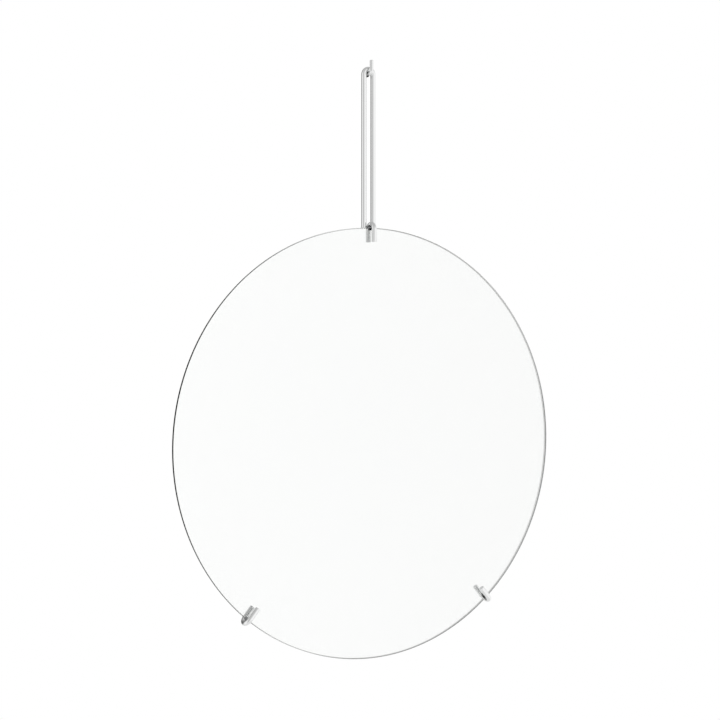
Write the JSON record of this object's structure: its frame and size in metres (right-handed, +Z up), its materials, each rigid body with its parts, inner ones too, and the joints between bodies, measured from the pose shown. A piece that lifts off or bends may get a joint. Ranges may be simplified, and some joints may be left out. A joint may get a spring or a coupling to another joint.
{
  "type": "wall mirror",
  "caption": "Frameless round glass mirror gripped at its rim by chrome rod hooks and hung by a long narrow rod loop from a small wall hook.",
  "frame": {"origin": "on the wall, on the axis of the wall hook's shank", "axes": "+Z up, along the hanging loop; +Y into the wall, so the mirror faces -Y; +X to the viewer's right"},
  "size_m": [0.5, 0.0281, 0.6942],
  "materials": {
    "glass": "clear float glass with a polished edge",
    "silvering": "mirror",
    "film": "matt backing film",
    "chrome_rod": "polished chrome plate",
    "chrome_hook": "polished chrome plate",
    "steel": "zinc-plated or brushed steel",
    "brass": "plain turned brass",
    "nylon": "moulded black nylon",
    "rubber": "black rubber",
    "vinyl": "soft pale grey vinyl"
  },
  "bodies": {
    "wall_hook": {"wall_hook": "chrome_hook"},
    "spacer": {"hook_spacer": "nylon"},
    "hanger": {"mirror_glass": "glass", "silver_layer": "silvering", "safety_film": "film", "loop_left_leg": "chrome_rod", "loop_right_leg": "chrome_rod", "loop_bend": "chrome_rod", "left_hook_rod": "chrome_rod", "right_hook_rod": "chrome_rod", "left_edge_pad": "vinyl", "right_edge_pad": "vinyl", "hub_front_plate": "steel", "hub_stud_1": "steel", "hub_stud_2": "steel", "hub_stud_3": "steel", "hub_spacer": "nylon", "hub_back_plate": "steel", "hub_washer_1": "steel", "hub_washer_2": "steel", "hub_washer_3": "steel", "hub_nut_1": "steel", "hub_nut_2": "steel", "hub_nut_3": "steel", "clamp_bush": "brass", "left_wall_bumper": "rubber", "right_wall_bumper": "rubber"},
    "top_hook": {"top_hook_rod": "chrome_rod", "top_edge_pad": "vinyl"},
    "clamp_tip": {"clamp_pad": "nylon"},
    "clamp_knob": {"thumb_screw": "steel"}
  },
  "joints": [
    {"name": "swing", "type": "hinge", "parent": "wall_hook", "child": "spacer", "pos_m": [0, 0, 0], "axis": [0, 1, 0], "range_deg": [-15, 15]},
    {"name": "lift_off", "type": "slide", "parent": "spacer", "child": "hanger", "axis": [0, 0, 1], "range_m": [0, 0.018]},
    {"name": "top_hook_slide", "type": "slide", "parent": "hanger", "child": "top_hook", "axis": [0, 0, 1], "range_m": [0, 0.02]},
    {"name": "clamp_travel", "type": "slide", "parent": "hanger", "child": "clamp_tip", "axis": [0, 1, 0], "range_m": [0, 0.00105]},
    {"name": "thumb_screw_turn", "type": "hinge", "parent": "clamp_tip", "child": "clamp_knob", "pos_m": [0, 0, -0.40735], "axis": [0, 1, 0], "range_deg": [0, 540]}
  ],
  "couplings": [
    {"joint": "clamp_travel", "follows": "thumb_screw_turn", "m_per_rad": 0.00011141}
  ]
}
